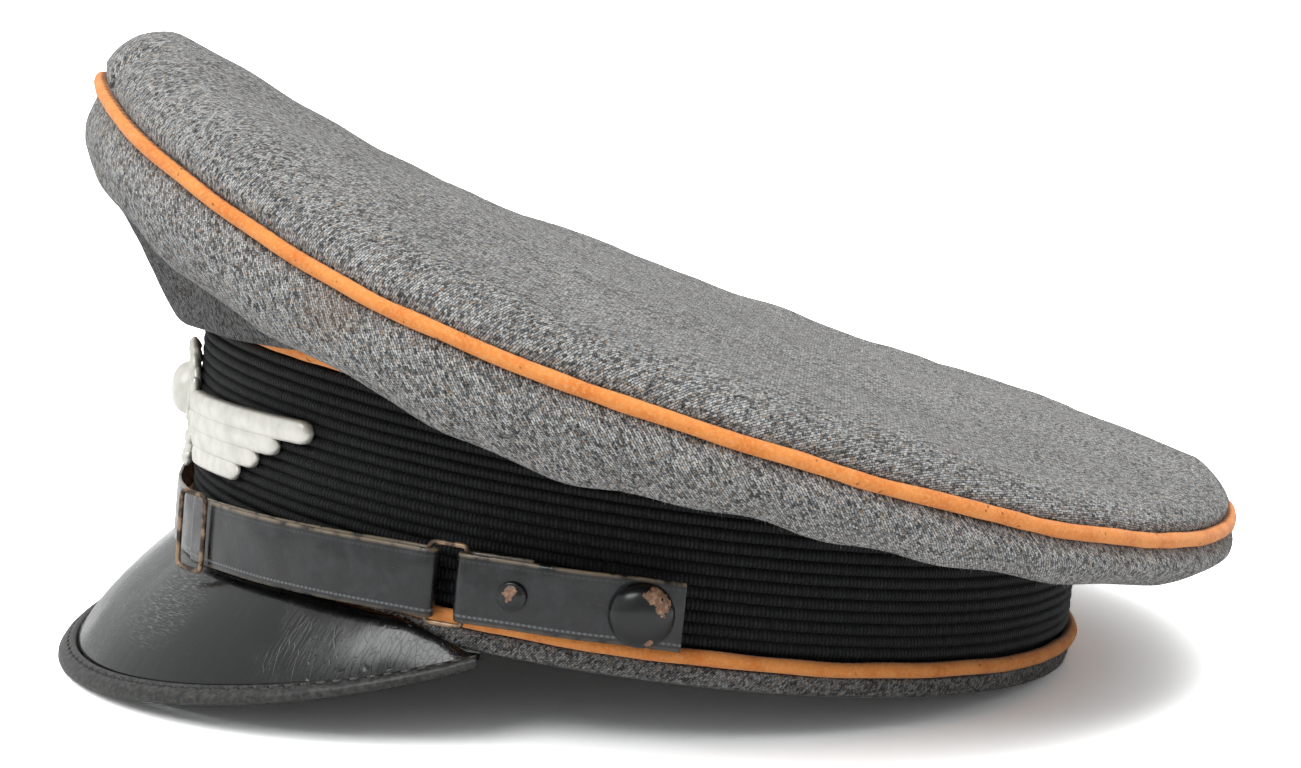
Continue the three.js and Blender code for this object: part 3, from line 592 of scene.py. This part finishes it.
# Peak: fibre board pressed to its curve and lacquered black, sewn in under the base strip.
# The lacquer is glossy, finely crazed with age and scuffed where it meets the strap.
root_height = strip_bottom - fit_gap
root_turn_end, peak_end = np.radians(67), np.radians(87)
peak_reach, peak_half_width, peak_drop, peak_slope = 126.0, 84.5, 32.5, np.radians(48)
peak_wall, peak_lap, peak_camber, peak_thinning = 2.0, 3.9, 0.05, 0.35
rim_width, rim_thickness = 5.2, 3.0
peak_centre = oval(root_turn_end, 0.0, root_height)[1]


def peak_edge(turn):
    """The rim's outer edge: an ellipse in plan that drops by 32.5 mm times cosine to the 0.9; with the ways
    down the slope and out of its face, the binding's width, and the share of its thickness left near the ends."""
    front = peak_reach + peak_centre
    ox, oy = np.sin(turn) / peak_half_width, -np.cos(turn) / front
    size = np.hypot(ox, oy)
    ox, oy = ox / size, oy / size
    slope = peak_slope * (0.35 + 0.65 * np.cos(turn))
    height = root_height + 1.5 - peak_drop * np.cos(turn) ** 0.9
    place = np.stack([peak_half_width * np.sin(turn), peak_centre - front * np.cos(turn), height], -1)
    down = np.stack([ox * np.cos(slope), oy * np.cos(slope), -np.sin(slope)], -1)
    face = np.stack([ox * np.sin(slope), oy * np.sin(slope), np.cos(slope)], -1)
    end = 1 - np.sqrt(np.cos(turn))
    return place, down, face, (rim_width * (1 - 0.7 * end))[..., None], (1 - peak_thinning * end)[..., None, None]


def lacquer_board():
    """Black lacquer on fibre board: a smooth gloss coat, crazed into fine cracks that run down the slope, with
    rubbed grey patches, and scuffed with pale scratches within 18 mm of a place behind the near slide."""
    material, place = finish("black_lacquered_fibre", Coat_Weight=0.5, Coat_Roughness=0.08)
    flat = on_flat(material)
    stretched = lambda run, fall: node("Mapping", {"Vector": flat, "Scale": (run, fall, 1)})[0]
    cracks = node("TexVoronoi", {
        "Vector": stretched(1700, 150), "Scale": 0.55}, feature="DISTANCE_TO_EDGE")["Distance"]
    base = mixed(ramped(noise(place, 600, 4, 0.7), 0.5, 0.78, 0.0, 0.25), "#08090A", "#2A2B2C")
    scratch = ramped(noise(stretched(260, 2600), 1, 3, 0.7), 0.5, 0.66)
    near = ramped(vectors("DISTANCE", place, scuffed), 0.004, 0.018, 1.0, 0.0)
    base = mixed(maths("MULTIPLY", near, scratch), base, "#7C7E7E")
    crazed = ramped(noise(place, 32, 3), 0.46, 0.62)
    fault = maths("MULTIPLY", maths("SUBTRACT", 1.0, ramped(cracks, 0.0, 0.07)), crazed)
    height = maths("SUBTRACT", noise(stretched(420, 45), 1, 3), fault)
    return surfaced(material, base, height, 0.2, 0.0005, ramped(noise(place, 55, 5), 0.3, 0.75, 0.16, 0.36))


turn = peak_end * np.linspace(-1, 1, 161)[:, None]
place, down, face, width, thinness = peak_edge(turn[:, 0])
face, wall = face[:, None], peak_wall * thinness
root_turn = turn * root_turn_end / np.radians(90)
aside = np.degrees(np.abs(root_turn))
lap = climb(aside, 10, 38) * climb(aside, 65, 56)
foot = oval(root_turn, lower_reach + fit_gap, root_height)
root = oval(root_turn, lower_reach + 2 * fit_gap, root_height + lap * peak_lap - (1 - lap) * 2 * fit_gap)
inner = (place - down * (width + fit_gap))[:, None]
share = np.linspace(0, 1, 41)[None, :, None]
length = np.linalg.norm(inner - root, axis=-1, keepdims=True)
board = root + (inner - root) * share + 4 * share * (1 - share) * peak_camber * length * face
under = np.concatenate([foot, board[:, 6:]], 1)[:, ::-1] - wall * face
tuck = oval(root_turn, -1.2, root_height)
board = np.concatenate([tuck, foot, board, under, tuck - [0, 0, 1] * wall], 1)
free = np.sin(np.pi * np.linspace(0, 1, board.shape[1])) ** 0.5
board += (0.25 * wander(board, 45, 51) * free)[..., None] * face
run, fall = np.broadcast_arrays(0.09 * turn, np.append(np.linspace(0, 0.09, board.shape[1]), 0.09))


def closed(form):
    """Fills the open ends of tubes of quads and turns their faces outwards."""
    bmesh.ops.holes_fill(form, edges=[e for e in form.edges if e.is_boundary], sides=0)
    bmesh.ops.triangulate(form, faces=[f for f in form.faces if len(f.verts) > 4])
    bmesh.ops.recalc_face_normals(form, faces=form.faces)


peak = reworked(skin("lacquered_peak", board, np.stack([run, fall], -1), across=True), closed)
scuffed = tuple(laid(board[104, 16]))
fitted(peak, lacquer_board(), "lacquer", "peak")


# Rim: a strip of black leather folded over the peak's edge and sewn down with one row of short stitches.
# It has gone grey and is chipped along the fold.
stitch_pitch = 3.6


def rim_leather():
    """Black leather gone grey and matt, chipped to its tan core, with a dark hole 2 mm long at each stitch along
    the groove inside the fold."""
    material, place = finish("black_binding_leather", Roughness=0.42, Specular_IOR_Level=0.4)
    grain = noise(place, 900, 4)
    base = mixed(ramped(grain, 0.35, 0.7), "#2C2D2C", "#4B4C49")
    off, beat = stitches(*along_across(material), 0.0033, stitch_pitch / 1000)
    base = mixed(maths("MULTIPLY", ramped(off, 0.0003, 0.0007, 0.9, 0.0), ramped(beat, -0.3, 0.2)), base, "#0A0A0A")
    base = mixed(ramped(noise(place, 210, 5, 0.65), 0.66, 0.7, 0.0, 0.85), base, "#8A6A4E")
    return surfaced(material, base, grain, 0.35, 0.0003)


turn = peak_end * np.linspace(-1, 1, 1101)
place, down, face, width, thinness = peak_edge(turn)
step = np.linalg.norm(np.diff(place, axis=0, prepend=place[:1]), axis=1).cumsum()
rim_line = np.array([  # shares of the width along the peak and of the thickness, round the fold
    [-1, 0.08], [-0.97, 0.24], [-0.88, 0.32], [-0.78, 0.33], [-0.73, 0.26], [-0.68, 0.26], [-0.63, 0.34],
    [-0.48, 0.36], [-0.3, 0.34], [-0.12, 0.24], [-0.02, 0.08], [0.02, -0.12], [0, -0.32], [-0.08, -0.52],
    [-0.25, -0.66], [-0.6, -0.68], [-1, -0.5]])
stitch = np.clip(3 * np.sin(2 * np.pi * step / stitch_pitch), -1, 1)[:, None]
stitch = 0.1 * stitch * np.isin(np.arange(len(rim_line)), (4, 5))
rim = (place[:, None] + rim_line[:, :1] * width[:, None] * down[:, None]
       + (rim_line[:, 1] + stitch)[..., None] * rim_thickness * thinness * face[:, None])
run, fall = np.meshgrid(step / 1000, np.linspace(0, 0.012, len(rim_line) + 1), indexing="ij")
rim = reworked(skin("bound_rim", rim, np.stack([run, fall], -1), across=True), closed)
fitted(rim, rim_leather(), "binding", "peak_rim")


# Chin strap: a long strap of polished black leather from the right button round the front and through the side
# slide, doubled back on itself to the front slide, and a short one from the left button. Both have a tooled line.
def strap_leather():
    """Polished black harness leather: a thin glaze over fine grain, rubbed tan along the cut edges, with a tooled
    dotted line 1.5 mm in from each edge, the upper one nearly worn away."""
    material, place = finish("black_strap_leather", Coat_Weight=0.5, Coat_Roughness=0.12)
    run, across = along_across(material)
    edge = maths("ABSOLUTE", across)
    off, beat = stitches(run, edge, 0.0055, 0.0011)
    line = maths("MULTIPLY", ramped(off, 0.0001, 0.0004, 1.0, 0.0), ramped(across, -0.001, 0.001, 1.0, 0.15))
    dots = maths("MULTIPLY", line, ramped(beat, -0.4, 0.4, 0.35, 1.0))
    wear = noise(place, 240, 4)
    rubbed = maths("MULTIPLY", ramped(edge, 0.006, 0.0068), ramped(wear, 0.32, 0.56))
    rubbed = maths("MULTIPLY", rubbed, ramped(across, -0.001, 0.001, 0.35, 1.0))
    base = mixed(dots, mixed(ramped(wear, 0.45, 0.7), "#0D0E10", "#26282B"), "#6C7072")
    base = mixed(rubbed, base, "#8A7B66")
    height = maths("SUBTRACT", maths("MULTIPLY", noise(place, 1100, 3), 0.35), dots)
    height = maths("ADD", height, maths("MULTIPLY", noise(place, 75, 1), 16.0))
    # the strap is rolled a little round across its width
    rolled = maths("MULTIPLY", maths("POWER", maths("DIVIDE", edge, 0.007), 2.0), 5.0)
    height = maths("SUBTRACT", height, rolled)
    return surfaced(material, base, height, 0.5, 0.0003, ramped(wear, 0.3, 0.7, 0.22, 0.42))


strap_width, strap_thickness, strap_end = 14.0, 1.1, 8.0
slide_bar, slide_width, slide_height = 1.1, 9.2, 17.5
button_angle, slide_angle, front_slide_angle, stud_angle = np.radians([82.5, 61, 21, 68.8])
inner_layer = lower_reach + cord_radius + fit_gap + strap_thickness / 2
outer_layer = inner_layer + strap_thickness + 3 * fit_gap + slide_bar
closed_layer = inner_layer + strap_thickness + fit_gap
slide_reach = (inner_layer + outer_layer) / 2
front_slide_reach = closed_layer + (strap_thickness + slide_bar) / 2 + 5 * fit_gap
bar_shift = (slide_width - slide_bar) / 2


def strap_height(angle):
    """From -1.1 mm at the front, rising with the sine to the 1.4 to 9 mm at the buttons."""
    return -1.1 + 10.1 * (np.abs(np.sin(angle)) / np.sin(button_angle)) ** 1.4


def along(angle, distance):
    """The angle reached from another by a distance round the band."""
    return angle + distance / np.hypot(band_half_width * np.cos(angle), band_half_length * np.sin(angle))


def strap_run(start, stop, turn, count):
    """Places as rows of angle, reach and turn, evenly from one to the other."""
    share = np.linspace(0, 1, count)[:, None]
    return np.concatenate([np.array(start) + (np.array(stop) - start) * share, np.full((count, 1), turn)], 1)


def strap_bend(angle, turn, count=16):
    """A half turn round a slide's bar between the two layers."""
    turns = turn + np.pi * np.arange(1, count)[:, None] / count
    radius = (outer_layer - inner_layer) / 2
    return np.concatenate([along(angle, radius * np.sin(turns)), slide_reach - radius * np.cos(turns), turns], 1)


def bent(value, power):
    """The size of a value to a power, with the value's sign."""
    return np.sign(value) * np.abs(value) ** power


def strap_body(name, stations):
    """A ribbon with rounded edges: at each place the section's sides lie along the turn and its ends up and down."""
    angle, reach, turn = (stations[:, k:k + 1] for k in range(3))
    way = ring(36)
    side, up = bent(np.cos(way), 0.45) * strap_thickness / 2, bent(np.sin(way), 0.3) * strap_width / 2
    spine = oval(angle, reach, strap_height(angle))[:, 0]
    run = np.linalg.norm(np.diff(spine, axis=0, prepend=spine[:1]), axis=1).cumsum()
    puff = 1 + 0.1 * wander(spine, 35, 61)[:, None]
    points = oval(along(angle, side * np.sin(turn)), reach - side * puff * np.cos(turn),
                  strap_height(angle) + up + 0.12 * wander(spine, 30, 62)[:, None])
    flat = np.stack(np.broadcast_arrays(run[:, None], np.append(up, up[0])), -1) / 1000
    return reworked(skin(name, points, flat, across=True), closed)


leather = strap_leather()
tip = along(-button_angle, -strap_end)
bar = along(slide_angle, -bar_shift)
end = along(front_slide_angle, -slide_width / 2)
chin_strap = strap_body("chin_strap_leather", np.concatenate([
    strap_run((tip, inner_layer), (bar, inner_layer), 0.0, 300), strap_bend(bar, 0.0),
    strap_run((bar, outer_layer), (end, closed_layer), np.pi, 120)]))
fitted(chin_strap, leather, "leather", "chin_strap")
tip = along(button_angle, strap_end)
bar = along(slide_angle, bar_shift)
end = along(stud_angle, 3.0)
strap_tab = strap_body("strap_tab_leather", np.concatenate([
    strap_run((tip, outer_layer), (bar, outer_layer), np.pi, 90), strap_bend(bar, np.pi),
    strap_run((bar, inner_layer), (end, inner_layer), 2 * np.pi, 40)]))
fitted(strap_tab, leather, "leather", "strap_tab")


# Slides: oblong frames bent from steel wire, once painted dark and now worn to a copper brown, that hold the strap.
# One holds the loop of the short strap at the side and one the end of the long strap near the front.
def worn_bronze():
    """Dark plated steel rubbed through to a warm copper brown."""
    material, place = finish("worn_bronzed_steel", Metallic=0.65, Roughness=0.42)
    rub = noise(place, 330, 5, 0.6)
    return surfaced(material, mixed(ramped(rub, 0.4, 0.6), "#4E443C", "#B3957A"), rub, 0.4, 0.0002)


def standing(points, angle, reach, height):
    """Points as (sideways, up, out) millimetres, set on the band at an angle, leaning with its rake."""
    up = np.array([0, -band_rake, 1]) / np.hypot(band_rake, 1)
    normal = np.array([np.sin(angle) / band_half_width, -np.cos(angle) / band_half_length, 0])
    sideways = np.cross(up, normal)
    sideways /= np.linalg.norm(sideways)
    return oval(angle, reach, height) + points @ np.array([sideways, up, np.cross(sideways, up)])


def slide(name, angle, reach, turn):
    """A wire of 1.1 mm carried round an oblong whose cosine and sine go to the 0.22, which rounds its corners."""
    way, around = ring(96)[:, None], ring(12)
    px = (slide_width - slide_bar) / 2 * bent(np.cos(way), 0.22)
    py = (slide_height - slide_bar) / 2 * bent(np.sin(way), 0.22)
    tx, ty = np.roll(px, -1) - np.roll(px, 1), np.roll(py, -1) - np.roll(py, 1)
    size = np.hypot(tx, ty)
    wire, rise = slide_bar / 2 * np.cos(around), slide_bar / 2 * np.sin(around)
    points = np.stack([px + ty / size * wire, py - tx / size * wire, rise + 0 * px], -1)
    c, s = np.cos(turn), np.sin(turn)
    points = standing(points @ np.array([[c, 0, -s], [0, 1, 0], [s, 0, c]]), angle, reach, strap_height(angle))
    return outward(skin(name, points, (0.05, 0.004), around=True, across=True))


bronze = worn_bronze()
fitted(slide("side_slide_frame", slide_angle, slide_reach, 0.0), bronze, "bronze", "slide_side")
front_slide = slide("front_slide_frame", front_slide_angle, front_slide_reach, np.radians(14))
fitted(front_slide, bronze, "bronze", "slide_front")


# Stud and buttons: a small rivet fastens the tab, and a plain domed button holds each end of the strap.
# The buttons are pressed metal, stove-painted black, with the paint worn through to copper brown in patches.
def round_piece(name, profile, angle, reach, height, sides=72):
    """A profile of radius and height out, turned about the axis that stands out of the band."""
    way = ring(sides)[:, None]
    radius, out = profile[:, 0], profile[:, 1]
    points = np.stack([radius * np.cos(way), radius * np.sin(way), out + 0 * way], -1)
    return outward(skin(name, standing(points, angle, reach, height), (0.04, 0.02), around=True, pole=True))


def worn_paint():
    """Black stove paint, glossy where hands have polished it, over a copper-brown metal that shows in ragged
    patches: two on the near button, one on the stud, and specks elsewhere."""
    material, place = finish("worn_black_stove_paint", Coat_Weight=0.3, Coat_Roughness=0.15)
    patch = noise(place, 260, 6, 0.65)
    centre = laid(oval(button_angle, outer_layer + 5, strap_height(button_angle)))
    stud_centre = laid(oval(stud_angle, outer_layer + 2, strap_height(stud_angle) + 1))
    for spot, size in ((centre + [0, 0.0036, 0.0036], 0.0046), (centre + [0, 0.001, -0.006], 0.0026),
                       (stud_centre, 0.0026)):
        near = ramped(vectors("DISTANCE", place, tuple(spot)), size * 0.3, size, 0.24, 0.0)
        patch = maths("ADD", patch, near)
    worn = ramped(patch, 0.66, 0.685)
    fine = ramped(noise(place, 900, 3), 0.4, 0.7)
    base = mixed(worn, mixed(fine, "#101113", "#1A1C1E"), mixed(fine, "#8A6650", "#BD987C"))
    return surfaced(material, base, worn, 0.25, 0.0002, ramped(worn, 0.0, 1.0, 0.26, 0.55), invert=True)


bend = np.linspace(0, np.pi / 2, 14)[1:]
button = np.concatenate([
    [[0, 0], [4.2, 0], [5.7, 0.05], [6.3, 0.35], [6.6, 0.8]],
    np.stack([6.6 * np.cos(bend) ** 0.92, 0.9 + 3.6 * np.sin(bend)], -1)])
button[-1, 0] = 0
stove_paint = worn_paint()
seat = strap_thickness / 2 + fit_gap
for side, angle, layer in (("left", button_angle, outer_layer), ("right", -button_angle, inner_layer)):
    button_piece = round_piece("side_button_" + side, button, angle, layer + seat, strap_height(angle))
    fitted(button_piece, stove_paint, "paint", "button_" + side)
stud = np.array([
    [0, 0], [2.5, 0], [2.95, 0.1], [3.0, 0.35], [2.9, 0.6], [2.6, 0.72], [2.3, 0.75], [2.1, 0.95], [1.6, 1.2],
    [0.8, 1.32], [0, 1.35]])
rivet = round_piece("strap_rivet", stud, stud_angle, outer_layer + seat, strap_height(stud_angle), 40)
fitted(rivet, stove_paint, "bronze", "strap_stud")


# Badge: a plain pair of feathered wings either side of a leaf wreath round a domed disc, cast in white metal.
# It is pinned to the front of the band and bends round it.
feather_rows, wing_length, wing_root, leaf_count = (1, 0.85, 0.74, 0.63), 63.0, 13.1, 28


def white_metal():
    """Cast zinc with a pale silver wash, dull and creamy, with painted shade in the hollows between the feathers."""
    material, place = finish("silvered_white_metal", Metallic=0.35, Roughness=0.36)
    grime = noise(place, 260, 4)
    base = mixed(ramped(grime, 0.35, 0.7), "#FAF8F0", "#E8E6DC")
    # painted shade: darker in hollows within 1 mm, found by ambient occlusion
    hollow = node("AmbientOcclusion", {"Distance": 0.001}, material, samples=6)["AO"]
    return surfaced(material, mixed(ramped(hollow, 0.25, 0.75), "#8A877E", base), grime, 0.15, 0.0002)


def arc_angle(arc):
    """The angle at which the oval's arc from the front has a length, by two hundred small steps."""
    angle = 0 * arc
    for _ in range(200):
        angle = along(angle, arc / 200)
    return angle


def wing(name, side):
    """Four rows of feathers, each a bar with a rounded back and tip; a lower row is shorter and lies flatter.
    Height out is the bar's own dome plus a step for each row above."""
    rows = []
    share, way = np.linspace(0, 1, 70)[:, None], ring(20)
    back = np.clip(np.cos(way), 0, 1)
    for row, part in enumerate(feather_rows):
        reach = wing_length * part
        arc = wing_root + (reach - wing_root) * share
        round_off = np.sqrt(1 - climb(arc, reach - 2.6, reach) ** 2)
        up = 26.25 - 3.75 * (row + 0.5) + 5.0 * arc / wing_length + 2.45 * round_off * bent(np.sin(way), 0.9)
        dome = (1.15 + 0.4 * (4 - row)) * (0.35 + 0.65 * round_off) * back ** 0.28
        quill = 0.12 * back * bell(np.sin(way), 0, 0.25)
        points = oval(side * arc_angle(arc), 0.35 + dome + quill, up)
        rows.append(skin(name + str(row), points, (0, 0), across=True))
    return rows


def joined(name, parts):
    """One smooth piece from several, with its ends closed."""
    piece = reworked(parts[0], closed, parts[1:])
    piece.data.shade_smooth()
    piece.name = piece.data.name = name
    return piece


silver = white_metal()
for side, way in (("left", 1), ("right", -1)):
    fitted(joined("feathered_wing_" + side, wing(side, way)), silver, "white_metal", "badge_wing_" + side)


def leaf(turn, lean, lift):
    """A pointed leaf: half width (1 - s squared) to the 0.8 along its length s, domed across with a midrib."""
    s, way = np.linspace(-1, 1, 13)[:, None], ring(12)
    x, y = 1.35 * (1 - s ** 2) ** 0.8 * np.cos(way), 3.1 * s
    out = 0.95 * np.sin(way) * np.sqrt(1 - s ** 2) * (1 + 0.35 * bell(np.cos(way), 0, 0.3))
    cosine, sine = np.cos(turn + lean), np.sin(turn + lean)
    arc, up = 10.8 * np.cos(turn) + x * cosine - y * sine, 23.0 + 12.8 * np.sin(turn) + x * sine + y * cosine
    return skin("leaf", oval(arc_angle(arc), 1.5 + lift + out, up), (0, 0), across=True, pole=True)


leaves = []
for k in range(leaf_count):
    turn = (k + 0.5) * 2 * np.pi / leaf_count
    lean = (-0.45 if np.cos(turn) > 0 else 0.45) * (1 if k % 2 else 0.3)
    leaves.append(leaf(turn, lean, 0.35 * (k % 2)))
fitted(joined("leaf_wreath", leaves), silver, "white_metal", "badge_wreath")
disc = np.array([
    [0, 0], [7.1, 0], [7.5, 0.2], [7.5, 1.8], [7.3, 2.2], [6.6, 2.4], [6.2, 2.2], [5.9, 2.5], [5.6, 3.5],
    [4.9, 4.4], [4.0, 5.1], [2.9, 5.6], [1.5, 5.9], [0, 6.0]])
fitted(round_piece("domed_disc", disc, 0.0, fit_gap, 26.0), silver, "white_metal", "badge_disc")


# Floor and light: a pale table in a pale tent. A broad soft light hangs above the cap and a small one ahead of it
# on the camera's side. That side of the tent is in shadow, so the near side is dimmer and the leather stays dark.
rim_turn = ring(256)
floor = shell("floor", 6 * np.stack([np.cos(rim_turn), np.sin(rim_turn), 0 * rim_turn], -1), np.arange(256)[None])
world = bpy.data.worlds.new("tent")
world.use_nodes = True
way = node("TexCoord", owner=world)["Generated"]


def by_ray(owner, other, seen):
    """One value for what the camera sees and another for all other rays."""
    return node("Mix", {0: node("LightPath", owner=owner)["Is Camera Ray"], 2: other, 3: seen})[0]


def facing(direction):
    """The cosine between the way looked along and a direction."""
    return vectors("DOT_PRODUCT", way, tuple(np.array(direction) / np.linalg.norm(direction)))


# the photo's table is burnt out: seen by the camera it is three times as bright as it is to the cap
paper, _ = finish("pale_table", Roughness=1.0, Specular_IOR_Level=0.0)
surfaced(paper, by_ray(paper, 0.8, 2.6))
floor.data.materials.append(paper)
walls = ramped(facing((-0.75, -0.45, 0.48)), -0.6, 0.7, 0.36, 0.72)
broad = ramped(facing((0.14, -0.06, 1.0)), 0.88, 0.97, 0.0, 2.7)
small = ramped(facing((0.48, -0.43, 0.77)), 0.945, 0.98, 0.0, 5.0)
strength = maths("ADD", maths("ADD", walls, broad), small)
tent = world.node_tree.nodes["Background"]
world.node_tree.links.new(by_ray(world, strength, 1.05), tent.inputs["Strength"])
tent.inputs["Color"].default_value = tone("#FCFDFD")
bpy.context.scene.world = world
